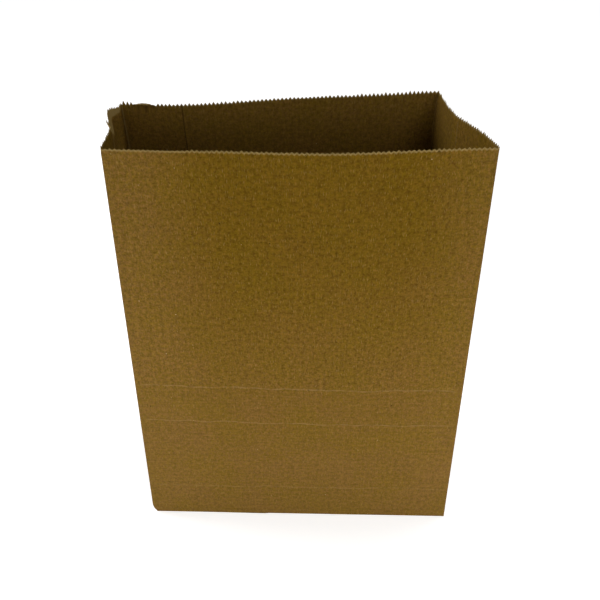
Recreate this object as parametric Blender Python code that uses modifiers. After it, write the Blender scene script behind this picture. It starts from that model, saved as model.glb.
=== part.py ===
"""Brown paper lunch bag, standing open.

One sheet of kraft paper is folded into a tube with a gusset down each side, its edges
lapped and glued down the back panel. The mouth is cut with a serrated knife. The lower
end of the tube is folded in and glued as a flat block bottom. Metres, +Z up, the front
panel faces -Y and the bottom lies on Z = 0.
"""

import math

import bmesh
import bpy
from mathutils import Vector

# Bag
PANEL_WIDTH = 0.160
GUSSET_DEPTH = 0.084
BAG_HEIGHT = 0.207
PAPER_THICKNESS = 0.00015

# Serrated cut of the mouth and of the bottom flaps
TOOTH_PITCH = 0.002
TOOTH_HEIGHT = 0.0009

# Block bottom: the two long flaps overlap in the middle
FLAP_OVERLAP = 0.043
FOLD_CREEP = 0.0003
GLUE_SEAT = 0.00003

# Lap seam of the back panel, from the back left fold
SEAM_EDGE = 0.032
SEAM_LAP = 0.012

# Creases that the flat folded state left, and the crushed front left bottom corner
CREASE_RELIEF = 0.0005
CREASE_REACH = 0.006
PRESS_MARK_DENT = 0.0012
CORNER_CRUSH = 0.0019
CRUSH_HEIGHT = 0.006

# Lean of each fold at the mouth, away from its place over the base
FRONT_LEFT_LEAN = Vector((0.0017, 0.0028, -0.0008))
FRONT_RIGHT_LEAN = Vector((0.0010, 0.0003, 0.0005))
RIGHT_MIDDLE_LEAN = Vector((-0.0080, -0.0010, 0.0013))
BACK_RIGHT_LEAN = Vector((-0.0101, -0.0015, 0.0023))
BACK_LEFT_LEAN = Vector((-0.0104, -0.0029, -0.0028))
LEFT_MIDDLE_LEAN = Vector((-0.0050, 0.0027, -0.0015))

# Outward bow of each panel at the mouth: strengths of one, two, three half waves
FRONT_BOW = (0.0059, -0.0006, -0.0005, 0.0006)
RIGHT_FRONT_BOW = (0.0002,)
RIGHT_REAR_BOW = (-0.0009, -0.0003)
BACK_BOW = (-0.0017, 0.0039, -0.0009)
LEFT_REAR_BOW = (0.0028, 0.0, -0.0008, -0.0001)
LEFT_FRONT_BOW = (-0.0004, -0.0002)

# How late a bow sets in on the way up: 1 is even, more keeps it near the mouth
PANEL_BOW_RISE = 1.5
FLARE_BOW_RISE = 5.0

# Mesh density
PANEL_COLUMNS = 20
HALF_GUSSET_COLUMNS = 7
RING_STEP = 0.0105

KRAFT_COLOUR = (0.158, 0.096, 0.024, 1.0)
KRAFT_ROUGHNESS = 0.85

HALF_WIDTH = PANEL_WIDTH / 2
HALF_DEPTH = GUSSET_DEPTH / 2
HALF_PLY = PAPER_THICKNESS / 2
FLOOR_TOP = 4 * PAPER_THICKNESS
FLAP_LENGTH = HALF_DEPTH + FLAP_OVERLAP / 2
FLAP_END = HALF_WIDTH - FLAP_LENGTH
UP = Vector((0, 0, 1))


def clear_scene():
    for obj in list(bpy.data.objects):
        bpy.data.objects.remove(obj, do_unlink=True)


def make_collection(name):
    collection = bpy.data.collections.new(name)
    bpy.context.scene.collection.children.link(collection)
    return collection


def kraft_material():
    material = bpy.data.materials.new("kraft_paper")
    material.use_nodes = True
    shader = material.node_tree.nodes["Principled BSDF"]
    shader.inputs["Base Color"].default_value = KRAFT_COLOUR
    shader.inputs["Roughness"].default_value = KRAFT_ROUGHNESS
    shader.inputs["Metallic"].default_value = 0.0
    return material


def wave(along, strengths):
    return sum(k * math.sin(n * math.pi * along) for n, k in enumerate(strengths, 1))


def ridge(distance):
    """Height of a soft crease at a distance from its line."""
    return CREASE_RELIEF * max(0.0, 1 - abs(distance) / CREASE_REACH)


def front_relief(along, height):
    """The panel hinges slightly where the edge of the folded bottom was pressed in."""
    below = height / GUSSET_DEPTH
    above = (BAG_HEIGHT - height) / (BAG_HEIGHT - GUSSET_DEPTH)
    return -PRESS_MARK_DENT * min(below, above)


def back_relief(along, height):
    """The turning crease lies half the bag's depth above the bottom fold."""
    return ridge(height - HALF_DEPTH)


def front_gusset_relief(from_corner, height):
    """A crease rises at 45 degrees from the bottom corner to the middle fold."""
    return ridge(height - min(from_corner, HALF_DEPTH))


def rear_gusset_relief(from_corner, height):
    """The turning crease runs round the back fold as far as the middle fold."""
    return max(front_gusset_relief(from_corner, height), ridge(height - HALF_DEPTH))


class Fold:
    """A fold line that rises from its place on the base outline."""

    def __init__(self, x, y, lean, crush=0.0):
        self.base = Vector((x, y, 0))
        self.lean = lean
        self.crush = crush

    def point(self, rise):
        """The fold's place at a share of the bag's height."""
        place = self.base + rise * (self.lean + UP * BAG_HEIGHT)
        above_floor = max(0.0, rise * BAG_HEIGHT - FLOOR_TOP)
        crushed = max(0.0, 1 - above_floor / CRUSH_HEIGHT)
        return place - self.base.normalized() * self.crush * crushed ** 2


class Panel:
    """The paper from one fold to the next, anticlockwise as seen from above."""

    def __init__(self, first, last, columns, bow, bow_rise, relief, from_last=False):
        self.first = first
        self.last = last
        self.columns = columns
        self.bow = bow
        self.bow_rise = bow_rise
        self.relief = relief
        self.from_last = from_last
        self.width = (last.base - first.base).length
        self.teeth = max(1, round(self.width / columns / TOOTH_PITCH))

    def outward(self, rise):
        run = self.last.point(rise) - self.first.point(rise)
        return Vector((run.y, -run.x, 0)).normalized()

    def column_point(self, column, rise):
        """A place on one column at a share of the bag's height."""
        along = column / self.columns
        chord = self.first.point(rise).lerp(self.last.point(rise), along)
        crease_side = 1 - along if self.from_last else along
        offset = wave(along, self.bow) * rise ** self.bow_rise
        if 0 < column < self.columns:
            offset += self.relief(crease_side * self.width, rise * BAG_HEIGHT)
        return chord + self.outward(rise) * offset

    def point(self, along, rise):
        """A place on the flat facet between two columns."""
        column = min(int(along * self.columns), self.columns - 1)
        near = self.column_point(column, rise)
        far = self.column_point(column + 1, rise)
        return near.lerp(far, along * self.columns - column)


def make_panels():
    front_left = Fold(-HALF_WIDTH, -HALF_DEPTH, FRONT_LEFT_LEAN, CORNER_CRUSH)
    front_right = Fold(HALF_WIDTH, -HALF_DEPTH, FRONT_RIGHT_LEAN)
    right_middle = Fold(HALF_WIDTH, 0, RIGHT_MIDDLE_LEAN)
    back_right = Fold(HALF_WIDTH, HALF_DEPTH, BACK_RIGHT_LEAN)
    back_left = Fold(-HALF_WIDTH, HALF_DEPTH, BACK_LEFT_LEAN)
    left_middle = Fold(-HALF_WIDTH, 0, LEFT_MIDDLE_LEAN)
    half = HALF_GUSSET_COLUMNS
    return {
        "front": Panel(front_left, front_right, PANEL_COLUMNS, FRONT_BOW,
                       PANEL_BOW_RISE, front_relief),
        "right_front": Panel(front_right, right_middle, half, RIGHT_FRONT_BOW,
                             PANEL_BOW_RISE, front_gusset_relief),
        "right_rear": Panel(right_middle, back_right, half, RIGHT_REAR_BOW,
                            PANEL_BOW_RISE, rear_gusset_relief, from_last=True),
        "back": Panel(back_right, back_left, PANEL_COLUMNS, BACK_BOW,
                      PANEL_BOW_RISE, back_relief),
        "left_rear": Panel(back_left, left_middle, half, LEFT_REAR_BOW,
                           FLARE_BOW_RISE, rear_gusset_relief),
        "left_front": Panel(left_middle, front_left, half, LEFT_FRONT_BOW,
                            PANEL_BOW_RISE, front_gusset_relief, from_last=True),
    }


def spaced(start, end, step):
    """Even steps from start up to but without end."""
    count = max(1, round((end - start) / step))
    return [start + (end - start) * k / count for k in range(count)]


def ring_rises(bottom):
    """Shares of the height at which the tube has a ring, with the creases on rings."""
    gusset_step = HALF_DEPTH / HALF_GUSSET_COLUMNS
    heights = [bottom, FLOOR_TOP] + spaced(0, HALF_DEPTH, gusset_step)[1:]
    heights += spaced(HALF_DEPTH, GUSSET_DEPTH, RING_STEP)
    heights += spaced(GUSSET_DEPTH, BAG_HEIGHT, RING_STEP)
    return [height / BAG_HEIGHT for height in heights]


def make_object(name, bm, collection, material):
    mesh = bpy.data.meshes.new(name)
    bm.to_mesh(mesh)
    bm.free()
    mesh.materials.append(material)
    obj = bpy.data.objects.new(name, mesh)
    collection.objects.link(obj)
    return obj


def tube_mesh(panels):
    """The open tube: rings of quads below, one many-sided face per column at the teeth."""
    bm = bmesh.new()
    rises = ring_rises(HALF_PLY)
    columns = [(panel, k) for panel in panels.values() for k in range(panel.columns)]
    rings = [[bm.verts.new(p.column_point(k, rise)) for p, k in columns] for rise in rises]
    cut = []
    for panel, column in columns:
        teeth = 2 * panel.teeth
        for step in range(teeth):
            along = (column + step / teeth) / panel.columns
            sink = 0 if step % 2 else TOOTH_HEIGHT
            cut.append(bm.verts.new(panel.point(along, 1) - UP * sink))
    for low, high in zip(rings, rings[1:]):
        for k in range(len(columns)):
            after = (k + 1) % len(columns)
            bm.faces.new((low[k], low[after], high[after], high[k]))
    first = 0
    for k, (panel, column) in enumerate(columns):
        last = first + 2 * panel.teeth
        toothed = [cut[i % len(cut)] for i in range(first, last + 1)]
        after = (k + 1) % len(columns)
        bm.faces.new([rings[-1][k], rings[-1][after]] + toothed[::-1])
        first = last
    return bm


def add_solidify(obj, thickness):
    modifier = obj.modifiers.new("paper", "SOLIDIFY")
    modifier.thickness = thickness
    modifier.offset = -1
    modifier.use_even_offset = True


def add_boolean(obj, other, operation):
    modifier = obj.modifiers.new(other.name, "BOOLEAN")
    modifier.object = other
    modifier.operation = operation
    modifier.solver = "EXACT"


def seam_ply(panel, collection, material):
    """The inner edge of the sheet, lapped over the outer one down the back panel."""
    bm = bmesh.new()
    start = 1 - (SEAM_EDGE + SEAM_LAP) / PANEL_WIDTH
    end = 1 - SEAM_EDGE / PANEL_WIDTH
    inner = [k / panel.columns for k in range(panel.columns + 1)]
    alongs = [start] + [a for a in inner if start < a < end] + [end]
    top = 1 - (TOOTH_HEIGHT + GLUE_SEAT) / BAG_HEIGHT
    rises = ring_rises(PAPER_THICKNESS + GLUE_SEAT) + [top]
    grid = []
    for rise in rises:
        sink = panel.outward(rise) * HALF_PLY
        grid.append([bm.verts.new(panel.point(along, rise) - sink) for along in alongs])
    for low, high in zip(grid, grid[1:]):
        for k in range(len(alongs) - 1):
            bm.faces.new((low[k], low[k + 1], high[k + 1], high[k]))
    ply = make_object("seam_ply", bm, collection, material)
    add_solidify(ply, PAPER_THICKNESS + HALF_PLY)
    return ply


def plate(name, outline, bottom, top, collection, material):
    """A flat ply: its outline filled with one face and extruded to the ply's thickness."""
    bm = bmesh.new()
    base = bm.faces.new([bm.verts.new((x, y, bottom)) for x, y in outline])
    extruded = bmesh.ops.extrude_face_region(bm, geom=[base])
    lifted = [item for item in extruded["geom"] if isinstance(item, bmesh.types.BMVert)]
    bmesh.ops.translate(bm, vec=UP * (top - bottom), verts=lifted)
    bmesh.ops.recalc_face_normals(bm, faces=bm.faces)
    return make_object(name, bm, collection, material)


def serrated(start, end):
    """Points of a toothed cut from start to end, with the teeth on its right side."""
    start, end = Vector(start), Vector(end)
    run = end - start
    teeth = max(1, round(run.length / TOOTH_PITCH))
    tip = Vector((run.y, -run.x)).normalized() * TOOTH_HEIGHT
    points = []
    for k in range(teeth):
        points.append(start + run * (k / teeth))
        points.append(start + run * ((k + 0.5) / teeth) + tip)
    return points + [end]


def folded_bottom(panels, collection, material):
    """The flaps glued over each other, trimmed to the fold round the base."""
    ply = PAPER_THICKNESS
    edge = HALF_DEPTH
    reach = FLAP_LENGTH - HALF_DEPTH
    notch = FLAP_END + FOLD_CREEP + TOOTH_HEIGHT
    creep = FOLD_CREEP
    root = HALF_WIDTH

    outer = [(-root, -edge), (root, -edge)]
    outer += serrated((FLAP_END, reach), (-FLAP_END, reach))
    outer_flap = plate("outer_flap", outer, 0, ply, collection, material)

    middle = [(-root, -edge - creep), (-notch, -edge - creep), (-notch, -reach)]
    middle += serrated((-FLAP_END, -reach), (FLAP_END, -reach))
    middle += [(notch, -reach), (notch, -edge - creep), (root, -edge - creep)]
    middle += [(root - edge - creep, 0), (root, edge + creep)]
    middle += [(-root, edge + creep), (-root + edge + creep, 0)]
    inner_flap = plate("inner_flap", middle, ply - GLUE_SEAT, 2 * ply, collection, material)

    flaps = [inner_flap]
    for side, name in ((-1, "left_flap"), (1, "right_flap")):
        free = serrated((side * FLAP_END, side * edge), (side * FLAP_END, -side * edge))
        outline = free + [(side * root, -side * edge), (side * root, side * edge)]
        flaps.append(plate(name, outline, 2 * ply - GLUE_SEAT, 3 * ply, collection, material))

    inset = (1 - HALF_PLY / HALF_WIDTH, 1 - HALF_PLY / HALF_DEPTH)
    ring = [p.column_point(k, 0) for p in panels.values() for k in range(p.columns)]
    base = [(point.x * inset[0], point.y * inset[1]) for point in ring]
    trim = plate("base_trim", base, -ply, 4 * ply, collection, material)

    for flap in flaps:
        add_boolean(outer_flap, flap, "UNION")
    add_boolean(outer_flap, trim, "INTERSECT")
    outer_flap.name = "folded_bottom"
    return outer_flap


def main():
    clear_scene()
    bag_parts = make_collection("paper_lunch_bag")
    fold_tools = make_collection("paper_lunch_bag_plies")
    kraft = kraft_material()
    panels = make_panels()
    bag = make_object("paper_bag", tube_mesh(panels), bag_parts, kraft)
    add_solidify(bag, PAPER_THICKNESS)
    add_boolean(bag, seam_ply(panels["back"], fold_tools, kraft), "UNION")
    add_boolean(bag, folded_bottom(panels, fold_tools, kraft), "UNION")
    for tool in fold_tools.objects:
        tool.hide_render = True
        tool.display_type = "WIRE"


main()
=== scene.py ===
"""Brown paper lunch bag, standing open: the visible sheet, its folds, cuts and fibres.

Metres, +Z up. The front panel faces -Y and the bag stands on Z = 0.
"""

import math

import bmesh
import bpy
from mathutils import Matrix, Vector, noise


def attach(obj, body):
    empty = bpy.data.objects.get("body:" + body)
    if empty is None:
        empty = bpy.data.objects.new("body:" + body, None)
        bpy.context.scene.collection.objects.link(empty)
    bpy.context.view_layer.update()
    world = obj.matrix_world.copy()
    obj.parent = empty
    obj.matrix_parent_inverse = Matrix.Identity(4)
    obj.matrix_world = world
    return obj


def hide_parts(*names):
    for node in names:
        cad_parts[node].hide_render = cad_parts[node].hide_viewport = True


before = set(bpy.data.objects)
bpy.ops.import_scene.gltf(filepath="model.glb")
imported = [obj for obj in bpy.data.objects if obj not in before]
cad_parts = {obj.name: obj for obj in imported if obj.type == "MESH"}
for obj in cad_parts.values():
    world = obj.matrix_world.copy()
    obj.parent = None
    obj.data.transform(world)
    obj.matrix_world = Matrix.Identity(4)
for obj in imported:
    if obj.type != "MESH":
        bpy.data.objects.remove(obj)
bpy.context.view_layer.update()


# Camera. It stands in front of the bag and a little above its mouth, and looks
# down on the front panel and over the rim at the inside of the back panel.
CAMERA_PLACE = Vector((0.0090, -0.3016, 0.2898))
CAMERA_LENS = 40.34
CAMERA_YAW = math.radians(-1.56)
CAMERA_PITCH = math.radians(30.441)
CAMERA_ROLL = math.radians(-0.424)
UP = Vector((0, 0, 1))

level_look = Vector((math.sin(CAMERA_YAW), math.cos(CAMERA_YAW), 0))
look = level_look * math.cos(CAMERA_PITCH) - UP * math.sin(CAMERA_PITCH)
level_right = look.cross(UP).normalized()
level_up = level_right.cross(look)
right = level_right * math.cos(CAMERA_ROLL) + level_up * math.sin(CAMERA_ROLL)
above = level_up * math.cos(CAMERA_ROLL) - level_right * math.sin(CAMERA_ROLL)

camera = bpy.data.objects.new("camera", bpy.data.cameras.new("camera"))
camera.data.lens = CAMERA_LENS
turn_to_look = Matrix((right, above, -look)).transposed().to_4x4()
camera.matrix_world = Matrix.Translation(CAMERA_PLACE) @ turn_to_look
bpy.context.scene.collection.objects.link(camera)
bpy.context.scene.camera = camera


# Kraft paper, brown and unbleached. Its long fibres lie mostly up and down the bag,
# with flecks of bark and pale shives in it, worn paler along folds and pressed lines.
PANEL_WIDTH = 0.160
GUSSET_DEPTH = 0.084
BAG_HEIGHT = 0.207
PAPER_THICKNESS = 0.00015
SEAM_EDGE = 0.032
SEAM_LAP = 0.012
HALF_WIDTH = PANEL_WIDTH / 2
HALF_DEPTH = GUSSET_DEPTH / 2

# Places of the folds along the sheet, from its outer glued edge
BACK_LEFT_FOLD = SEAM_EDGE + SEAM_LAP
FRONT_LEFT_FOLD = BACK_LEFT_FOLD + GUSSET_DEPTH
FRONT_RIGHT_FOLD = FRONT_LEFT_FOLD + PANEL_WIDTH
BACK_RIGHT_FOLD = FRONT_RIGHT_FOLD + GUSSET_DEPTH
SHEET_END = BACK_RIGHT_FOLD + PANEL_WIDTH - SEAM_EDGE
LEFT_MIDDLE_FOLD = (BACK_LEFT_FOLD + FRONT_LEFT_FOLD) / 2
RIGHT_MIDDLE_FOLD = (FRONT_RIGHT_FOLD + BACK_RIGHT_FOLD) / 2
FRONT_MIDDLE = (FRONT_LEFT_FOLD + FRONT_RIGHT_FOLD) / 2
CORNER_FOLDS = (BACK_LEFT_FOLD, FRONT_LEFT_FOLD, FRONT_RIGHT_FOLD, BACK_RIGHT_FOLD)
MIDDLE_FOLDS = (LEFT_MIDDLE_FOLD, RIGHT_MIDDLE_FOLD)

# Pressed lines across the front: height in the middle, rise to the left, half width, paleness
FRONT_MARKS = (
    (0.0865, 0.0026, 0.00060, 0.70),
    (0.0648, 0.0026, 0.00040, 0.85),
    (0.0208, 0.0012, 0.00045, 0.55),
)
MARK_WANDER = 0.0005

# Half widths of the other lines on the paper
CREASE_LINE = 0.0005
FOLD_LINE = 0.0006
PALE_FOLD_LINE = 0.0010
# The dark line at the free edge of the lap is partly glue and partly painted shadow
GLUE_AND_SHADOW_LINE = 0.0009

# Colours of the pulp, of fibres and flecks in it, and of worn and cut paper
OLIVE_KRAFT = (0.155, 0.092, 0.012, 1)
RED_KRAFT = (0.173, 0.092, 0.024, 1)
WORN_KRAFT = (0.285, 0.196, 0.078, 1)
PALE_FIBRE = (0.260, 0.172, 0.050, 1)
DARK_FIBRE = (0.070, 0.040, 0.008, 1)
EDGE_KRAFT = (0.200, 0.142, 0.050, 1)
EDGE_SHIVE = (0.300, 0.215, 0.080, 1)
BARK = (0.030, 0.016, 0.006, 1)
SHIVE = (0.400, 0.300, 0.150, 1)

# Tones that multiply the colour, with painted light and shade: the front's painted sheen of light off the
# floor, the front's painted shade, painted light on the front half of a gusset, and the plain tone of all
# the rest
PAINTED_SHEEN_TONE = (1.055, 1.06, 1.15, 1)
PAINTED_SHADE_TONE = (0.73, 0.715, 0.29, 1)
PAINTED_LIGHT_SIDE_TONE = (1.14, 1.14, 0.76, 1)
SIDE_TONE = (1.01, 1.01, 0.85, 1)

# Painted shade: the front is painted darker and more saturated high up and a little right of its middle,
# and paler and greyer elsewhere. How far aside the painted shade ends and where it is full, and between
# which heights it grows
PAINTED_SHADE_MIDDLE = FRONT_MIDDLE + 0.008
PAINTED_SHADE_REACH = (0.085, 0.035)
PAINTED_SHADE_HEIGHTS = (0.030, 0.190)

# The paper is smoother, with faint ribs across it, where the flat bag held its folded bottom
PRESSED_HEIGHTS = (0.092, 0.080)

# Light that comes through the paper: its tint, and its share of the shading
THROUGH_TINT = (1.0, 1.0, 0.38, 1)
THROUGH_SHARE = 0.18

# Large flecks of bark on the front: place along the sheet, height, radius
LARGE_FLECKS = (
    (0.2541, 0.0766, 0.0007),
    (0.2639, 0.2055, 0.0009),
    (0.2207, 0.1673, 0.0005),
)


def add_node(tree, kind, inputs=None, **settings):
    """A new node in the tree. An input is linked where it is given a socket, and set otherwise."""
    made = tree.nodes.new(kind)
    for name, value in settings.items():
        setattr(made, name, value)
    for name, value in (inputs or {}).items():
        if isinstance(value, bpy.types.NodeSocket):
            tree.links.new(value, made.inputs[name])
        else:
            made.inputs[name].default_value = value
    return made


class Paint:
    """A material's node tree, with its nodes made and joined in one call each."""

    def __init__(self, name):
        self.material = bpy.data.materials.new(name)
        self.material.use_nodes = True
        self.tree = self.material.node_tree
        self.shader = self.tree.nodes["Principled BSDF"]
        self.output = self.tree.nodes["Material Output"]

    def node(self, kind, inputs=None, **settings):
        return add_node(self.tree, kind, inputs, **settings)

    def math(self, operation, first, second=0.0):
        return self.node("ShaderNodeMath", {0: first, 1: second}, operation=operation).outputs[0]

    def range(self, value, low, high, to_low=0.0, to_high=1.0):
        """A smooth step between two values."""
        inputs = {"Value": value, "From Min": low, "From Max": high, "To Min": to_low, "To Max": to_high}
        made = self.node("ShaderNodeMapRange", inputs, interpolation_type="SMOOTHSTEP")
        return made.outputs["Result"]

    def line(self, place, half_width):
        """1 where place is 0, down to 0 at half_width on either side."""
        return self.range(self.math("ABSOLUTE", place), half_width, 0.0)

    def mix(self, share, first, second, blend="MIX"):
        inputs = {0: share, 6: first, 7: second}
        return self.node("ShaderNodeMix", inputs, data_type="RGBA", blend_type=blend).outputs[2]

    def noise(self, place, scale, detail, roughness):
        inputs = {"Vector": place, "Scale": scale, "Detail": detail, "Roughness": roughness}
        return self.node("ShaderNodeTexNoise", inputs).outputs["Fac"]

    def stretched(self, place, scale):
        """Places for a noise with another grain size on each axis."""
        inputs = {"Vector": place, "Scale": scale}
        return self.node("ShaderNodeMapping", inputs).outputs["Vector"]

    def flecks(self, place, scale, size, share):
        """Round specks: one cell in so many holds one, of a size in metres."""
        cells = self.node("ShaderNodeTexVoronoi", {"Vector": place, "Scale": scale, "Randomness": 1.0})
        chosen = self.node("ShaderNodeSeparateColor", {"Color": cells.outputs["Color"]})
        kept = self.math("LESS_THAN", chosen.outputs[0], share)
        bigness = self.range(chosen.outputs[1], 0.0, 1.0, 0.5, 1.0)
        reach = self.math("MULTIPLY", bigness, size * scale)
        near = self.math("DIVIDE", cells.outputs["Distance"], reach)
        return self.math("MULTIPLY", kept, self.range(near, 1.0, 0.35))


paint = Paint("kraft_paper")
sheet_map = paint.node("ShaderNodeUVMap", uv_map="sheet").outputs["UV"]
axes = paint.node("ShaderNodeSeparateXYZ", {"Vector": sheet_map})
along, height = axes.outputs["X"], axes.outputs["Y"]
from_middle = paint.math("SUBTRACT", along, FRONT_MIDDLE)
off_middle = paint.math("ABSOLUTE", from_middle)

# Pulp: cloudy and flocky hues, mottle and grain, streaks up the bag and ribs across it
clouds = paint.noise(sheet_map, 45.0, 4.0, 0.6)
flocks = paint.noise(sheet_map, 700.0, 2.0, 0.5)
mottle = paint.noise(sheet_map, 500.0, 3.0, 0.6)
grain = paint.noise(sheet_map, 1150.0, 3.0, 0.6)
streaks = paint.noise(paint.stretched(sheet_map, (900.0, 45.0, 1.0)), 1.0, 3.0, 0.6)
ribs = paint.noise(paint.stretched(sheet_map, (30.0, 1100.0, 1.0)), 1.0, 2.0, 0.5)
pressed = paint.range(height, *PRESSED_HEIGHTS)

hues = paint.math("ADD", paint.math("MULTIPLY", clouds, 0.40), paint.math("MULTIPLY", flocks, 0.60))
colour = paint.mix(paint.range(hues, 0.36, 0.64, 0.1, 0.9), OLIVE_KRAFT, RED_KRAFT)
tone = paint.range(mottle, 0.25, 0.75, -0.24, 0.24)
tone = paint.math("ADD", tone, paint.range(grain, 0.25, 0.75, -0.22, 0.22))
tone = paint.math("ADD", tone, paint.range(streaks, 0.3, 0.7, -0.07, 0.07))
rib_tone = paint.math("MULTIPLY", paint.range(ribs, 0.3, 0.7, -0.07, 0.07), pressed)
tone = paint.math("ADD", tone, rib_tone)
tone = paint.math("MULTIPLY", tone, paint.range(pressed, 0.0, 1.0, 1.0, 0.72))
tone = paint.math("ADD", 1.0, tone)

# Painted light and shade on the front: paler and greyer low down and at the sides, darker and more
# saturated high in its middle
off_shade_middle = paint.math("ABSOLUTE", paint.math("SUBTRACT", along, PAINTED_SHADE_MIDDLE))
off_front = paint.math("GREATER_THAN", off_middle, HALF_WIDTH)
painted_shade = paint.range(height, *PAINTED_SHADE_HEIGHTS, 0.20, 1.0)
painted_shade = paint.math("MULTIPLY", painted_shade, paint.range(off_shade_middle, *PAINTED_SHADE_REACH, 0.30, 1.0))
painted_shade = paint.math("MULTIPLY", painted_shade, paint.math("SUBTRACT", 1.0, off_front))
# Painted light: the front half of each gusset is painted lighter and more saturated than its rear half
painted_light_side = paint.range(off_shade_middle, HALF_WIDTH + HALF_DEPTH, HALF_WIDTH + HALF_DEPTH * 0.9)
side_tone_and_painted_light = paint.mix(painted_light_side, SIDE_TONE, PAINTED_LIGHT_SIDE_TONE)
tone_and_painted_light = paint.mix(off_front, paint.mix(painted_shade, PAINTED_SHEEN_TONE, PAINTED_SHADE_TONE), side_tone_and_painted_light)
grey_tone = paint.node("ShaderNodeCombineColor", {0: tone, 1: tone, 2: tone})
colour = paint.mix(1.0, colour, tone_and_painted_light, "MULTIPLY")
colour = paint.mix(1.0, colour, grey_tone.outputs[0], "MULTIPLY")

# Single fibres and flecks
pale_fibres = paint.noise(paint.stretched(sheet_map, (2600.0, 420.0, 1.0)), 1.0, 1.0, 0.5)
dark_fibres = paint.noise(paint.stretched(sheet_map, (1300.0, 1700.0, 1.0)), 1.0, 1.0, 0.5)
colour = paint.mix(paint.range(pale_fibres, 0.58, 0.76, 0.0, 0.55), colour, PALE_FIBRE)
colour = paint.mix(paint.range(dark_fibres, 0.64, 0.80, 0.0, 0.32), colour, DARK_FIBRE)
colour = paint.mix(paint.flecks(sheet_map, 240.0, 0.00042, 0.16), colour, BARK)
colour = paint.mix(paint.flecks(sheet_map, 310.0, 0.00034, 0.10), colour, SHIVE)
for fleck_along, fleck_height, radius in LARGE_FLECKS:
    beside = paint.math("SUBTRACT", along, fleck_along)
    over = paint.math("SUBTRACT", height, fleck_height)
    squares = paint.math("ADD", paint.math("MULTIPLY", beside, beside), paint.math("MULTIPLY", over, over))
    apart = paint.math("SQRT", squares)
    colour = paint.mix(paint.range(apart, radius, 0.0, 0.0, 0.85), colour, BARK)

# Worn pale, in patches: the front's pressed lines, the crease that turns round the back,
# the diagonals of the gussets, and every fold
patchy = paint.range(paint.noise(sheet_map, 260.0, 3.0, 0.7), 0.30, 0.58)
on_front = paint.range(paint.line(from_middle, HALF_WIDTH * 1.02), 0.0, 0.02)
wobble = paint.range(paint.noise(sheet_map, 60.0, 2.0, 0.6), 0.3, 0.7, -MARK_WANDER, MARK_WANDER)
wavy = paint.math("ADD", height, wobble)
worn = 0.0
for mark_height, rise_left, half_width, paleness in FRONT_MARKS:
    tilt = paint.math("MULTIPLY", from_middle, rise_left / PANEL_WIDTH)
    from_line = paint.math("SUBTRACT", paint.math("ADD", wavy, tilt), mark_height)
    mark = paint.math("MULTIPLY", paint.line(from_line, half_width), paleness)
    worn = paint.math("MAXIMUM", worn, paint.math("MULTIPLY", mark, on_front))

turned = paint.line(paint.math("SUBTRACT", wavy, HALF_DEPTH), CREASE_LINE)
behind = paint.math("GREATER_THAN", off_middle, FRONT_MIDDLE - LEFT_MIDDLE_FOLD)
worn = paint.math("MAXIMUM", worn, paint.math("MULTIPLY", turned, behind))
for middle in MIDDLE_FOLDS:
    off_fold = paint.math("ABSOLUTE", paint.math("SUBTRACT", along, middle))
    diagonal = paint.math("SUBTRACT", paint.math("ADD", off_fold, height), HALF_DEPTH)
    inside = paint.math("LESS_THAN", off_fold, HALF_DEPTH)
    crease = paint.math("MULTIPLY", paint.line(diagonal, CREASE_LINE), inside)
    worn = paint.math("MAXIMUM", worn, crease)
worn = paint.math("MULTIPLY", worn, patchy)
patchy_fold = paint.range(patchy, 0.0, 1.0, 0.25, 0.7)
for fold in CORNER_FOLDS + MIDDLE_FOLDS:
    rubbed = paint.line(paint.math("SUBTRACT", along, fold), FOLD_LINE)
    worn = paint.math("MAXIMUM", worn, paint.math("MULTIPLY", rubbed, patchy_fold))
colour = paint.mix(paint.math("MULTIPLY", worn, 0.55), colour, WORN_KRAFT)
for fold in (BACK_LEFT_FOLD, LEFT_MIDDLE_FOLD):
    rubbed = paint.line(paint.math("SUBTRACT", along, fold - PALE_FOLD_LINE / 2), PALE_FOLD_LINE)
    colour = paint.mix(paint.math("MULTIPLY", rubbed, 0.5), colour, EDGE_SHIVE)

# Torn paper along the cut, and the dark line at the free edge of the lap, partly glue and partly painted
# shadow under the lifted edge
# The cut attribute also holds the painted highlight on the flare and the curl of the rim
cut_and_highlight = paint.node("ShaderNodeAttribute", attribute_name="cut_edge_and_highlight").outputs["Fac"]
colour = paint.mix(paint.range(cut_and_highlight, 0.1, 0.9, 0.0, 0.72), colour, EDGE_SHIVE)
glue_and_shadow_line = paint.line(paint.math("SUBTRACT", along, SHEET_END + 0.0001), GLUE_AND_SHADOW_LINE)
colour = paint.mix(paint.math("MULTIPLY", glue_and_shadow_line, 0.75), colour, BARK)

relief = paint.math("ADD", grain, paint.math("MULTIPLY", mottle, 0.6))
relief = paint.math("ADD", relief, paint.math("MULTIPLY", pale_fibres, 0.5))
relief = paint.math("ADD", relief, paint.math("MULTIPLY", worn, 0.8))
bump = paint.node("ShaderNodeBump", {"Strength": 0.35, "Distance": 0.00012, "Height": relief})

paint.tree.links.new(colour, paint.shader.inputs["Base Color"])
paint.tree.links.new(paint.range(mottle, 0.3, 0.7, 0.78, 0.92), paint.shader.inputs["Roughness"])
paint.tree.links.new(bump.outputs["Normal"], paint.shader.inputs["Normal"])
paint.shader.inputs["Specular IOR Level"].default_value = 0.02

glow_colour = paint.mix(1.0, colour, THROUGH_TINT, "MULTIPLY")
through = paint.node("ShaderNodeBsdfTranslucent", {"Color": glow_colour, "Normal": bump.outputs["Normal"]})
joined = paint.node("ShaderNodeMixShader", {
    0: THROUGH_SHARE, 1: paint.shader.outputs[0], 2: through.outputs[0]})
paint.tree.links.new(joined.outputs[0], paint.output.inputs["Surface"])
kraft_paper = paint.material


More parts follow.
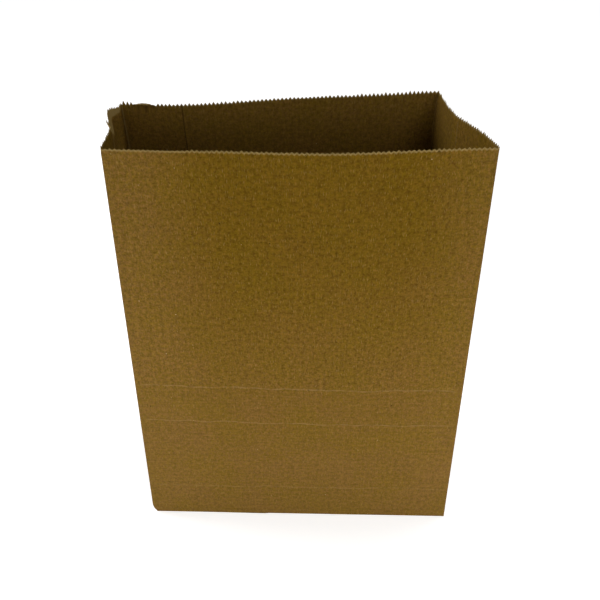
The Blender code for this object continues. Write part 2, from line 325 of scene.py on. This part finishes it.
# Cut edge of the kraft paper, where the knife tore pale fibres loose. It is the sheet's
# thickness, seen along the teeth of the mouth and of the bottom flaps.
paint = Paint("kraft_cut_edge")
object_place = paint.node("ShaderNodeTexCoord").outputs["Object"]
torn = paint.noise(object_place, 1800.0, 3.0, 0.7)
edge_colour = paint.mix(paint.range(torn, 0.3, 0.7), EDGE_KRAFT, EDGE_SHIVE)
paint.tree.links.new(edge_colour, paint.shader.inputs["Base Color"])
paint.shader.inputs["Roughness"].default_value = 0.9
paint.shader.inputs["Specular IOR Level"].default_value = 0.1
kraft_cut_edge = paint.material


# The sheet, folded into a tube: front, back and two gussets, each with a middle fold.
# It starts at the outer edge of the back seam and ends at the inner one, glued under it.

# How far each panel bows outward at its rim, and how far the rim rises there, both as half
# waves from fold to fold: the strengths of one, two, three and more of them
FRONT_BOW = (0.0059, -0.0006, -0.0005, 0.0006)
RIGHT_FRONT_BOW = (0.0011, 0.0001)
RIGHT_REAR_BOW = (-0.0009, -0.0003)
BACK_BOW = (-0.0017, 0.0039, -0.0009)
LEFT_REAR_BOW = (0.0020, 0.0, -0.0008, -0.0001)
LEFT_REAR_LIFT = (-0.0009, 0.0012, -0.0012)
BACK_LIFT = (-0.0008, -0.0003, -0.0003)
LEFT_FRONT_BOW = (-0.0008, -0.0002)

# The bow grows with this power of the height
PANEL_BOW_RISE = 1.5
FLARE_BOW_RISE = 5.0

# Creases and pressed lines stand a little out of the panels, and slow waves run through them
CREASE_RELIEF = 0.0005
CREASE_REACH = 0.006
PRESS_MARK_DENT = 0.0012
MARK_RIDGE = 0.00012
MARK_RIDGE_REACH = 0.0012
WAVINESS = 0.00030
WAVE_SIZE = 0.030
WAVE_FADE = 0.012
FOLD_ROUNDING = 0.00035

# The low left corner of the front is crushed inward, most beside the plies of the bottom
BOTTOM_TOP = 4 * PAPER_THICKNESS
CORNER_CRUSH = 0.0019
CRUSH_HEIGHT = 0.006

# A fold sways most at four fifths of its height
SWAY_PEAK = 1 / (0.8 ** 4 * 0.2)


class Fold:
    """A fold line that rises from its place on the base outline."""

    def __init__(self, x, y, lean, crush=0.0, sway=0.0):
        self.base = Vector((x, y, 0))
        self.lean = Vector(lean)
        self.crush = crush
        self.sway = sway

    def place(self, rise):
        above_bottom = max(0.0, rise * BAG_HEIGHT - BOTTOM_TOP)
        crushed = max(0.0, 1 - above_bottom / CRUSH_HEIGHT)
        place = self.base + rise * (self.lean + UP * BAG_HEIGHT)
        place.x += self.sway * rise ** 4 * (1 - rise) * SWAY_PEAK
        return place - self.base.normalized() * self.crush * crushed ** 2


def half_waves(share, strengths):
    return sum(k * math.sin(n * math.pi * share) for n, k in enumerate(strengths, 1))


def ridge(distance):
    return CREASE_RELIEF * max(0.0, 1 - abs(distance) / CREASE_REACH)


def front_relief(from_left, height):
    """The panel hinges where the folded bottom was pressed in, with a fine ridge on each mark."""
    below = height / GUSSET_DEPTH
    over = (BAG_HEIGHT - height) / (BAG_HEIGHT - GUSSET_DEPTH)
    relief = -PRESS_MARK_DENT * min(below, over)
    for mark_height, rise_left, half_width, paleness in FRONT_MARKS:
        line_height = mark_height - (from_left / PANEL_WIDTH - 0.5) * rise_left
        relief += MARK_RIDGE * paleness * max(0.0, 1 - abs(height - line_height) / MARK_RIDGE_REACH)
    return relief


def back_relief(from_fold, height):
    return ridge(height - HALF_DEPTH)


def front_gusset_relief(from_corner, height):
    return ridge(height - min(from_corner, HALF_DEPTH))


def rear_gusset_relief(from_corner, height):
    return max(front_gusset_relief(from_corner, height), ridge(height - HALF_DEPTH))


class Panel:
    """The paper from one fold to the next, anticlockwise as seen from above."""

    def __init__(self, first, last, bow, bow_rise, relief, from_last=False, lift=()):
        self.first = first
        self.last = last
        self.bow = bow
        self.bow_rise = bow_rise
        self.relief = relief
        self.from_last = from_last
        self.lift = lift
        self.width = (last.base - first.base).length

    def outward(self, rise):
        run = self.last.place(rise) - self.first.place(rise)
        return Vector((run.y, -run.x, 0)).normalized()

    def place(self, share, rise):
        chord = self.first.place(rise).lerp(self.last.place(rise), share)
        bow = half_waves(share, self.bow)
        chord += UP * half_waves(share, self.lift) * rise ** self.bow_rise
        from_crease = (1 - share if self.from_last else share) * self.width
        near_fold = min(share, 1 - share) * self.width
        relief = self.relief(from_crease, rise * BAG_HEIGHT) * min(1.0, near_fold / CREASE_REACH)
        wave = noise.noise(chord / WAVE_SIZE) * WAVINESS * min(1.0, near_fold / WAVE_FADE)
        distance_out = bow * rise ** self.bow_rise + relief + wave * min(1.0, rise * 8)
        return chord + self.outward(rise) * distance_out


# Folds: place on the base, how far the top leans right, back and up, and how far the fold sways
front_left = Fold(-HALF_WIDTH, -HALF_DEPTH, (0.0017, 0.0028, -0.0008), crush=CORNER_CRUSH)
front_right = Fold(HALF_WIDTH, -HALF_DEPTH, (0.0010, 0.0003, 0.0005))
right_middle = Fold(HALF_WIDTH, 0, (-0.0080, -0.0010, 0.0013), sway=-0.0006)
back_right = Fold(HALF_WIDTH, HALF_DEPTH, (-0.0105, -0.0015, 0.0028), sway=-0.0027)
back_left = Fold(-HALF_WIDTH, HALF_DEPTH, (-0.0104, -0.0029, -0.0028))
left_middle = Fold(-HALF_WIDTH, 0, (-0.0050, 0.0027, -0.0015), sway=-0.0012)

back = Panel(back_right, back_left, BACK_BOW, PANEL_BOW_RISE, back_relief, lift=BACK_LIFT)
left_rear = Panel(
    back_left, left_middle, LEFT_REAR_BOW, FLARE_BOW_RISE, rear_gusset_relief, lift=LEFT_REAR_LIFT)
left_front = Panel(
    left_middle, front_left, LEFT_FRONT_BOW, PANEL_BOW_RISE, front_gusset_relief, from_last=True)
front = Panel(front_left, front_right, FRONT_BOW, PANEL_BOW_RISE, front_relief)
right_front = Panel(front_right, right_middle, RIGHT_FRONT_BOW, PANEL_BOW_RISE, front_gusset_relief)
right_rear = Panel(
    right_middle, back_right, RIGHT_REAR_BOW, PANEL_BOW_RISE, rear_gusset_relief, from_last=True)

# Stretches of the sheet: panel, where it starts along the sheet, first and last share of the panel
stretches = (
    (back, 0.0, 1 - BACK_LEFT_FOLD / PANEL_WIDTH, 1.0),
    (left_rear, BACK_LEFT_FOLD, 0.0, 1.0),
    (left_front, LEFT_MIDDLE_FOLD, 0.0, 1.0),
    (front, FRONT_LEFT_FOLD, 0.0, 1.0),
    (right_front, FRONT_RIGHT_FOLD, 0.0, 1.0),
    (right_rear, RIGHT_MIDDLE_FOLD, 0.0, 1.0),
    (back, BACK_RIGHT_FOLD, 0.0, 1 - SEAM_EDGE / PANEL_WIDTH),
)
TOOTH_PITCH = 0.002
TOOTH_HEIGHT = 0.0009
ROW_STEP = 0.0032
CREASE_ROW_GAP = 0.0012
BOTTOM_ROLL = 0.00035
BOTTOM_ROWS = (0.0010, 0.0022, 0.0040)
FIRST_EVEN_ROW = 0.0065

# Rows under the cut: depth below the valleys between the teeth, share of the teeth's height
RIM_ROWS = (
    (0.0060, 0.0),
    (0.0046, 0.0),
    (0.0034, 0.0),
    (0.0024, 0.0),
    (0.0017, 0.20),
    (0.0010, 0.62),
    (0.00045, 0.85),
    (0.0, 1.0),
)


def evenly(start, end, step):
    """Even steps from start up to but without end."""
    count = max(1, round((end - start) / step))
    return [start + (end - start) * k / count for k in range(count)]


columns = []
for panel, starts_at, first_share, last_share in stretches:
    length = (last_share - first_share) * panel.width
    distances = evenly(0.0, length, TOOTH_PITCH / 2)
    if first_share == 0.0:
        distances.insert(1, FOLD_ROUNDING)
    if last_share == 1.0:
        distances.append(length - FOLD_ROUNDING)
    for distance in distances:
        columns.append((panel, first_share + distance / panel.width, starts_at + distance))
columns.append((back, 1 - SEAM_EDGE / PANEL_WIDTH, SHEET_END))

valley = BAG_HEIGHT - TOOTH_HEIGHT
crease_rows = sorted({HALF_DEPTH} | {mark[0] for mark in FRONT_MARKS})
heights = [BOTTOM_ROLL * (1 - math.cos(math.radians(turn))) for turn in (0, 30, 60, 90)]
heights += BOTTOM_ROWS
for low, high in zip([FIRST_EVEN_ROW] + crease_rows, crease_rows + [valley - RIM_ROWS[0][0]]):
    near_low = low + CREASE_ROW_GAP if low in crease_rows else low
    near_high = high - CREASE_ROW_GAP if high in crease_rows else high
    heights += ([low] if low in crease_rows else []) + evenly(near_low, near_high, ROW_STEP)
    heights += [near_high] if high in crease_rows else []
heights += [valley - drop for drop, share in RIM_ROWS]
tooth_shares = [0.0] * (len(heights) - len(RIM_ROWS)) + [share for drop, share in RIM_ROWS]

# Rows between the upper two pressed lines of the front tilt with them, and less so further off
TILT_MIDDLE = 0.0757
TILT_REACH = 0.055
TILT_RISE_LEFT = 0.0026

# The inner edge of the sheet goes under the lap, and its free edge lifts a little
LAP_STEP_RUN = 0.003
GLUE_GAP = 0.00002
FREE_EDGE_REACH = 0.0025
FREE_EDGE_LIFT = 0.0006

# Distances along the sheet from the left back corner: long teeth between the first two, then
# low ones under the curl. Teeth are low in front of the left middle fold too.
LONG_TEETH_START = 0.0020
LONG_TEETH_END = 0.0072
LOW_TEETH_END = 0.0185
LOW_TEETH_AT_FLARE = 0.0105

# Behind the left back corner the rim curls forward
CURL_MIDDLE = BACK_LEFT_FOLD - 0.0128
CURL_HALF_RUN = 0.0062
CURL_LENGTH = 0.0034
CURL_TURN = math.radians(150)
CURL_GROWTH = 0.0036
CURL_GROWN_AT = 0.3

# The rear half of the left gusset turns outward at its rim. The turn gets less deep towards
# the back, and fades over a fifth of the half gusset there and over a quarter of it in front.
FLARE_DEPTH = 0.0054
FLARE_SLOPE = 0.46
FLARE_DEPTH_LOSS = 0.7
FLARE_FADE_BACK = 5
FLARE_FADE_FRONT = 4

# Painted highlight: the paper is painted pale where the flare or the curl has moved it this far and turned
# it to the light
FLARE_HIGHLIGHT_MOVE = 0.0003
CURL_HIGHLIGHT_MOVE = 0.0008

# Fibres come loose along the folds, and more so at the low left corner of the front
FRAYED_FOLD_REACH = 0.0012
FRAYED_CORNER_REACH = 0.003
FRAYED_CORNER_HEIGHT = 0.030


def tilted(panel, share, height):
    if panel is not front:
        return height
    weight = max(0.0, 1 - abs(height - TILT_MIDDLE) / TILT_REACH)
    return height - (share - 0.5) * TILT_RISE_LEFT * min(1.0, weight * 1.25)


def lap_inset(sheet_along):
    into_lap = sheet_along - (SHEET_END - SEAM_LAP)
    settled = min(1.0, max(0.0, 1 + into_lap / LAP_STEP_RUN))
    lifted = max(0.0, 1 - (SHEET_END - sheet_along) / FREE_EDGE_REACH)
    return settled * (PAPER_THICKNESS + GLUE_GAP) + lifted ** 2 * FREE_EDGE_LIFT


def tooth_stand(panel, share, sheet_along):
    """How high the teeth stand here, as a share of the usual height."""
    from_corner = BACK_LEFT_FOLD - sheet_along
    if LONG_TEETH_START < from_corner < LONG_TEETH_END:
        return 1.9
    if LONG_TEETH_END <= from_corner < LOW_TEETH_END:
        return 0.25
    if 0.0 < sheet_along - LEFT_MIDDLE_FOLD < LOW_TEETH_AT_FLARE:
        return 0.25
    if panel is back:
        return 1.50 if 0.02 < share < 0.25 else 1.10
    if panel is front:
        return 0.45 if share < 0.22 else 0.75
    return 1.0


def rim_curl(sheet_along, height):
    """How far the curl takes a point forward and up."""
    off_curl_middle = (sheet_along - CURL_MIDDLE) / CURL_HALF_RUN
    near = math.sqrt(max(0.0, 1 - off_curl_middle ** 2))
    up_the_curl = max(0.0, height - (valley - CURL_LENGTH))
    if near < 0.05 or up_the_curl == 0.0:
        return 0.0, 0.0
    turn = CURL_TURN * near
    radius = CURL_LENGTH / turn
    turned = up_the_curl / radius
    grown = CURL_GROWTH * near * min(1.0, up_the_curl / (CURL_GROWN_AT * CURL_LENGTH))
    return radius * (1 - math.cos(turned)), radius * math.sin(turned) - up_the_curl + grown


def rim_flare(sheet_along, height):
    """How far the flare takes a point to the left, most at the gusset's middle fold."""
    towards_back = (LEFT_MIDDLE_FOLD - sheet_along) / HALF_DEPTH
    depth = FLARE_DEPTH * (1 - FLARE_DEPTH_LOSS * min(1.0, max(0.0, towards_back)))
    fade = min(1.0, (1 - towards_back) * FLARE_FADE_BACK, 1 + towards_back * FLARE_FADE_FRONT)
    return FLARE_SLOPE * max(0.0, fade) * max(0.0, height - (valley - depth))


bm = bmesh.new()
uv_layer = bm.loops.layers.uv.new("sheet")
along_layer = bm.verts.layers.float.new("sheet_along")
tooth_layer = bm.verts.layers.float.new("tooth_share")
cut_and_highlight_layer = bm.verts.layers.float.new("cut_edge_and_highlight")
fray_layer = bm.verts.layers.float.new("fray")
places = {}
grid = []
torn_rows = {len(heights) - 1: 1.0, len(heights) - 2: 0.7}
for row, (row_height, tooth_share) in enumerate(zip(heights, tooth_shares)):
    verts = []
    for panel, panel_share, sheet_along in columns:
        point_height = tilted(panel, panel_share, row_height)
        forward, upward = rim_curl(sheet_along, point_height)
        flared = rim_flare(sheet_along, point_height)
        inset = lap_inset(sheet_along) + forward
        if point_height < BOTTOM_ROLL:
            inset += BOTTOM_ROLL - math.sqrt(BOTTOM_ROLL ** 2 - (BOTTOM_ROLL - point_height) ** 2)
        rise = point_height / BAG_HEIGHT
        place = panel.place(panel_share, rise) - panel.outward(rise) * inset + UP * upward
        place.x -= flared
        from_corner = min(abs(sheet_along - fold) for fold in CORNER_FOLDS)
        if from_corner < FOLD_ROUNDING / 2:
            place -= Vector((place.x, place.y * 2, 0)).normalized() * FOLD_ROUNDING * 0.35
        vert = bm.verts.new(place)
        vert[along_layer] = sheet_along
        vert[tooth_layer] = tooth_share * tooth_stand(panel, panel_share, sheet_along)

        # Painted highlight on the flare and the top of the curl, kept in one attribute with the torn rows
        # of the cut
        flare_highlight = flared / FLARE_HIGHLIGHT_MOVE if sheet_along < LEFT_MIDDLE_FOLD else 0.0
        painted_highlight = max(min(1.0, flare_highlight), forward > CURL_HIGHLIGHT_MOVE)
        vert[cut_and_highlight_layer] = max(painted_highlight, torn_rows.get(row, 0.0))
        from_fold = min(abs(sheet_along - fold) for fold in CORNER_FOLDS + MIDDLE_FOLDS)
        at_fold = max(0.0, 1 - from_fold / FRAYED_FOLD_REACH)
        at_corner = max(0.0, 1 - abs(sheet_along - FRONT_LEFT_FOLD) / FRAYED_CORNER_REACH)
        low_left = at_corner * max(0.0, 1 - point_height / FRAYED_CORNER_HEIGHT)
        vert[fray_layer] = max(1.0 * (tooth_share > 0.8), 0.10 * at_fold, 0.9 * low_left)
        places[vert] = (sheet_along, point_height)
        verts.append(vert)
    grid.append(verts)
for low, high in zip(grid, grid[1:]):
    for k in range(len(columns) - 1):
        face = bm.faces.new((low[k], low[k + 1], high[k + 1], high[k]))
        face.smooth = True
        for loop in face.loops:
            loop[uv_layer].uv = places[loop.vert]

bag_sheet = bpy.data.objects.new("bag_sheet", bpy.data.meshes.new("bag_sheet"))
bm.to_mesh(bag_sheet.data)
bm.free()
bpy.context.scene.collection.objects.link(bag_sheet)


class Growth:
    """A Geometry Nodes tree with named inputs, run on one object and made plain mesh."""

    def __init__(self, name, inputs):
        self.tree = bpy.data.node_groups.new(name, "GeometryNodeTree")
        self.tree.interface.new_socket("Geometry", in_out="INPUT", socket_type="NodeSocketGeometry")
        self.tree.interface.new_socket("Geometry", in_out="OUTPUT", socket_type="NodeSocketGeometry")
        self.values = {}
        for label, (kind, value) in inputs.items():
            socket = self.tree.interface.new_socket(label, in_out="INPUT", socket_type="NodeSocket" + kind)
            self.values[socket.identifier] = value
        self.given = self.tree.nodes.new("NodeGroupInput").outputs
        self.result = self.tree.nodes.new("NodeGroupOutput").inputs["Geometry"]

    def node(self, kind, inputs=None, **settings):
        return add_node(self.tree, kind, inputs, **settings)

    def math(self, operation, first, second=0.0):
        return self.node("ShaderNodeMath", {0: first, 1: second}, operation=operation).outputs[0]

    def attribute(self, name):
        named = self.node("GeometryNodeInputNamedAttribute", {"Name": name}, data_type="FLOAT")
        return named.outputs["Attribute"]

    def finish(self, geometry, material):
        real = self.node("GeometryNodeRealizeInstances", {"Geometry": geometry})
        painted = self.node("GeometryNodeSetMaterial", {"Geometry": real.outputs[0], "Material": material})
        self.tree.links.new(painted.outputs[0], self.result)

    def run(self, obj):
        modifier = obj.modifiers.new(self.tree.name, "NODES")
        modifier.node_group = self.tree
        for identifier, value in self.values.items():
            modifier[identifier] = value
        evaluated = obj.evaluated_get(bpy.context.evaluated_depsgraph_get())
        plain = bpy.data.meshes.new_from_object(evaluated)
        obj.modifiers.remove(modifier)
        obj.data = plain


# Serrated cut of the mouth: the knife leaves a tooth every two millimetres, no two alike,
# and bends the tips a little to one side or the other.
teeth = Growth("serrated_cut", {
    "Tooth Pitch": ("Float", TOOTH_PITCH),
    "Tooth Height": ("Float", 0.0011),
    "Unevenness": ("Float", 0.20),
    "Tip Bend": ("Float", 0.00035),
    "Seed": ("Int", 7),
})
tooth_place = teeth.math("DIVIDE", teeth.attribute("sheet_along"), teeth.given["Tooth Pitch"])
tooth_number = teeth.math("ROUND", tooth_place)
from_tip = teeth.math("ABSOLUTE", teeth.math("SUBTRACT", tooth_place, tooth_number))
flank = teeth.math("SUBTRACT", 1.0, teeth.math("MULTIPLY", from_tip, 2.0))
tip_share = teeth.math("MULTIPLY", flank, teeth.attribute("tooth_share"))
stretch = teeth.node("FunctionNodeRandomValue", {
    2: -1.0, 3: 1.0, "ID": tooth_number, "Seed": teeth.given["Seed"]})
uneven = teeth.math("ADD", 1.0, teeth.math("MULTIPLY", stretch.outputs[1], teeth.given["Unevenness"]))
uneven_share = teeth.math("MULTIPLY", tip_share, uneven)
tooth_rise = teeth.math("MULTIPLY", uneven_share, teeth.given["Tooth Height"])
bend_seed = teeth.math("ADD", teeth.given["Seed"], 1.0)
bend = teeth.node("FunctionNodeRandomValue", {2: -1.0, 3: 1.0, "ID": tooth_number, "Seed": bend_seed})
bend_share = teeth.math("MULTIPLY", tip_share, bend.outputs[1])
bend_out = teeth.math("MULTIPLY", bend_share, teeth.given["Tip Bend"])
sheet_normal = teeth.node("GeometryNodeInputNormal").outputs[0]
outward = teeth.node("ShaderNodeVectorMath", {0: sheet_normal, "Scale": bend_out}, operation="SCALE")
upward = teeth.node("ShaderNodeCombineXYZ", {"Z": tooth_rise})
moved = teeth.node("ShaderNodeVectorMath", {0: outward.outputs[0], 1: upward.outputs[0]}, operation="ADD")
cut_rim = teeth.node("GeometryNodeSetPosition", {
    "Geometry": teeth.given["Geometry"], "Offset": moved.outputs[0]})
teeth.finish(cut_rim.outputs[0], kraft_paper)
teeth.run(bag_sheet)

bag_sheet.data.materials.append(kraft_cut_edge)
ply = bag_sheet.modifiers.new("paper_ply", "SOLIDIFY")
ply.thickness = PAPER_THICKNESS
ply.offset = -1
ply.material_offset_rim = 1
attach(bag_sheet, "root")
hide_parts("paper_bag")


# Loose fibres that stand out of the cut and of the rubbed folds, most at the low left corner.
# They are the paper's own, under a millimetre long, torn up by the knife and by handling.
loose_fibres = bpy.data.objects.new("loose_fibres", bag_sheet.data.copy())
bpy.context.scene.collection.objects.link(loose_fibres)
fuzz = Growth("loose_fibres", {
    "Fibres per Area": ("Float", 420000.0),
    "Fibre Length": ("Float", 0.0007),
    "Fibre Radius": ("Float", 0.000014),
    "Seed": ("Int", 3),
})
roots = fuzz.node("GeometryNodeDistributePointsOnFaces", {
    "Mesh": fuzz.given["Geometry"],
    "Density": fuzz.math("MULTIPLY", fuzz.attribute("fray"), fuzz.given["Fibres per Area"]),
    "Seed": fuzz.given["Seed"],
})
bent = fuzz.node("GeometryNodeCurveQuadraticBezier", {
    "Resolution": 4, "Start": (0, 0, 0), "Middle": (0.25, 0.1, 0.6), "End": (0.75, -0.1, 0.8)})
slimness = fuzz.math("DIVIDE", fuzz.given["Fibre Radius"], fuzz.given["Fibre Length"])
section = fuzz.node("GeometryNodeCurvePrimitiveCircle", {"Resolution": 3, "Radius": slimness})
fibre = fuzz.node("GeometryNodeCurveToMesh", {
    "Curve": bent.outputs[0], "Profile Curve": section.outputs[0], "Fill Caps": True})
growth = fuzz.node("FunctionNodeRandomValue", {2: 0.5, 3: 1.5, "Seed": fuzz.given["Seed"]})
fibre_scale = fuzz.math("MULTIPLY", growth.outputs[1], fuzz.given["Fibre Length"])
planted = fuzz.node("GeometryNodeInstanceOnPoints", {
    "Points": roots.outputs["Points"], "Instance": fibre.outputs[0],
    "Rotation": roots.outputs["Rotation"], "Scale": fibre_scale})
spin = fuzz.node("FunctionNodeRandomValue", {
    0: (-0.9, -0.9, -3.14), 1: (0.9, 0.9, 3.14), "Seed": fuzz.given["Seed"]}, data_type="FLOAT_VECTOR")
turned_fibres = fuzz.node("GeometryNodeRotateInstances", {
    "Instances": planted.outputs[0], "Rotation": spin.outputs[0]})
fuzz.finish(turned_fibres.outputs[0], kraft_cut_edge)
fuzz.run(loose_fibres)
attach(loose_fibres, "root")


# Block bottom: the ends of the tube folded in and glued flat, side flaps first, then the
# back flap and the front flap over each other, each with the toothed cut on its free end.
FLAP_OVERLAP = 0.043
FOLD_CREEP = 0.0003
FLAP_LENGTH = HALF_DEPTH + FLAP_OVERLAP / 2
FLAP_END = HALF_WIDTH - FLAP_LENGTH
FLAP_REACH = FLAP_LENGTH - HALF_DEPTH
BASE_INSET = 0.0003
CRUSHED_RIGHT = 0.0017
CRUSHED_BACK = 0.0009
PLY_GAP = 0.00001

# The bottom's own part of the paper's map, below the walls
MAP_DROP = 0.2


def serrated(start, end):
    """Points of a toothed cut from start to end, with the teeth on its right side."""
    start, end = Vector(start), Vector(end)
    run = end - start
    count = max(1, round(run.length / TOOTH_PITCH))
    tip = Vector((run.y, -run.x)).normalized() * TOOTH_HEIGHT
    points = []
    for k in range(count):
        points.append(start + run * (k / count))
        points.append(start + run * ((k + 0.5) / count) + tip)
    return points + [end]


root_x, root_y = HALF_WIDTH - BASE_INSET, HALF_DEPTH - BASE_INSET
crushed_corner = (-root_x + CRUSHED_RIGHT, -root_y + CRUSHED_BACK)
notch = FLAP_END + FOLD_CREEP + TOOTH_HEIGHT
outer_flap = [crushed_corner, (root_x, -root_y)]
outer_flap += serrated((FLAP_END, FLAP_REACH), (-FLAP_END, FLAP_REACH))
inner_flap = [(-notch, -root_y), (-notch, -FLAP_REACH)]
inner_flap += serrated((-FLAP_END, -FLAP_REACH), (FLAP_END, -FLAP_REACH))
inner_flap += [(notch, -FLAP_REACH), (notch, -root_y), (root_x, -root_y)]
inner_flap += [(root_x - root_y, 0), (root_x, root_y), (-root_x, root_y)]
inner_flap += [(-root_x + root_y, 0), crushed_corner]
left_flap = serrated((-FLAP_END, -root_y), (-FLAP_END, root_y))[::-1]
left_flap = [(x - 2 * (x + FLAP_END), y) for x, y in left_flap]
left_flap += [crushed_corner, (-root_x, 0), (-root_x, root_y)]
right_flap = serrated((FLAP_END, root_y), (FLAP_END, -root_y))
right_flap += [(root_x, -root_y), (root_x, root_y)]

bm = bmesh.new()
uv_layer = bm.loops.layers.uv.new("sheet")
for level, outline in enumerate((outer_flap, inner_flap, left_flap, right_flap)):
    low = min(level, 2) * PAPER_THICKNESS + PLY_GAP
    face = bm.faces.new([bm.verts.new((x, y, low)) for x, y in outline])
    lifted = bmesh.ops.extrude_face_region(bm, geom=[face])["geom"]
    raised = [item for item in lifted if isinstance(item, bmesh.types.BMVert)]
    bmesh.ops.translate(bm, vec=UP * (PAPER_THICKNESS - PLY_GAP), verts=raised)
bmesh.ops.recalc_face_normals(bm, faces=bm.faces)
for face in bm.faces:
    flat = abs(face.normal.z) > 0.5
    face.material_index = 0 if flat else 1
    for loop in face.loops:
        loop[uv_layer].uv = (FRONT_MIDDLE + loop.vert.co.x, -HALF_DEPTH - loop.vert.co.y - MAP_DROP)
bottom_flaps = bpy.data.objects.new("bottom_flaps", bpy.data.meshes.new("bottom_flaps"))
bm.to_mesh(bottom_flaps.data)
bm.free()
bottom_flaps.data.materials.append(kraft_paper)
bottom_flaps.data.materials.append(kraft_cut_edge)
bpy.context.scene.collection.objects.link(bottom_flaps)
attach(bottom_flaps, "root")


# Stage: a plain white floor in a white room, with soft disc lamps round the bag. The floor
# glows faintly for the camera and in gloss, more so further off, up to plain white.
WHITE = (1, 1, 1, 1)
FLOOR_GREY = (0.80, 0.80, 0.80, 1)
FLOOR_REACH = 4
GLOW_DISTANCES = (0.25, 1.3)
GLOW_STRENGTHS = (0.64, 0.90)
ROOM_STRENGTH = 0.13

floor_corners = [(x * FLOOR_REACH, y * FLOOR_REACH, 0) for x, y in ((-1, -1), (1, -1), (1, 1), (-1, 1))]
floor_mesh = bpy.data.meshes.new("floor")
floor_mesh.from_pydata(floor_corners, [], [(0, 1, 2, 3)])
floor = bpy.data.objects.new("floor", floor_mesh)
bpy.context.scene.collection.objects.link(floor)
paint = Paint("white_floor")
rays = paint.node("ShaderNodeLightPath").outputs
mirrored = paint.math("MAXIMUM", rays["Is Glossy Ray"], rays["Is Transmission Ray"])
seen = paint.math("MAXIMUM", rays["Is Camera Ray"], mirrored)
matte = paint.node("ShaderNodeBsdfDiffuse", {"Color": FLOOR_GREY})
floor_place = paint.node("ShaderNodeTexCoord").outputs["Object"]
away = paint.node("ShaderNodeVectorMath", {0: floor_place}, operation="LENGTH").outputs["Value"]
glow_strength = paint.math("MULTIPLY", seen, paint.range(away, *GLOW_DISTANCES, *GLOW_STRENGTHS))
glow = paint.node("ShaderNodeEmission", {"Color": WHITE, "Strength": glow_strength})
white = paint.node("ShaderNodeAddShader", {0: matte.outputs[0], 1: glow.outputs[0]})
paint.tree.links.new(white.outputs[0], paint.output.inputs["Surface"])
floor.data.materials.append(paint.material)

world = bpy.data.worlds.new("white_room")
bpy.context.scene.world = world
world.use_nodes = True
room = world.node_tree
room_light = room.nodes["Background"]
room_light.inputs["Color"].default_value = WHITE
room_light.inputs["Strength"].default_value = ROOM_STRENGTH
backdrop = add_node(room, "ShaderNodeBackground", {"Color": WHITE, "Strength": 1.0})
rays = add_node(room, "ShaderNodeLightPath").outputs
seen = add_node(room, "ShaderNodeMath", {
    0: rays["Is Camera Ray"], 1: rays["Is Transmission Ray"]}, operation="MAXIMUM")
choice = add_node(room, "ShaderNodeMixShader", {
    0: seen.outputs[0], 1: room_light.outputs[0], 2: backdrop.outputs[0]})
room.links.new(choice.outputs[0], room.nodes["World Output"].inputs["Surface"])

# Lamps: name, place, aim, size, power in watts
LAMPS = (
    ("front_right_lamp", (0.35, -0.90, 0.58), (0.0, 0.0, 0.15), 0.30, 1.65),
    ("front_lamp", (0.0, -0.90, 0.30), (0.0, 0.0, 0.15), 0.30, 2.05),
    ("top_lamp", (0.25, 0.12, 1.05), (0.0, 0.0, 0.15), 0.30, 3.2),
    ("left_lamp", (-0.90, 0.13, 0.42), (0.0, 0.0, 0.15), 0.25, 3.2),
    ("back_left_lamp", (-0.75, 0.50, 0.42), (0.0, 0.0, 0.15), 0.25, 2.2),
    ("low_left_lamp", (-0.23, -0.28, 0.02), (-0.05, -0.04, 0.08), 0.12, 0.67),
    ("low_right_lamp", (0.23, -0.28, 0.02), (0.05, -0.04, 0.08), 0.12, 0.77),
)
for name, place, aim, lamp_size, power in LAMPS:
    light = bpy.data.lights.new(name, "AREA")
    light.shape = "DISK"
    light.size = lamp_size
    light.energy = power
    lamp = bpy.data.objects.new(name, light)
    lamp.location = place
    lamp.visible_camera = False
    lamp.rotation_mode = "QUATERNION"
    lamp.rotation_quaternion = (Vector(place) - Vector(aim)).to_track_quat("Z", "Y")
    bpy.context.scene.collection.objects.link(lamp)

bpy.context.scene.view_settings.view_transform = "Standard"
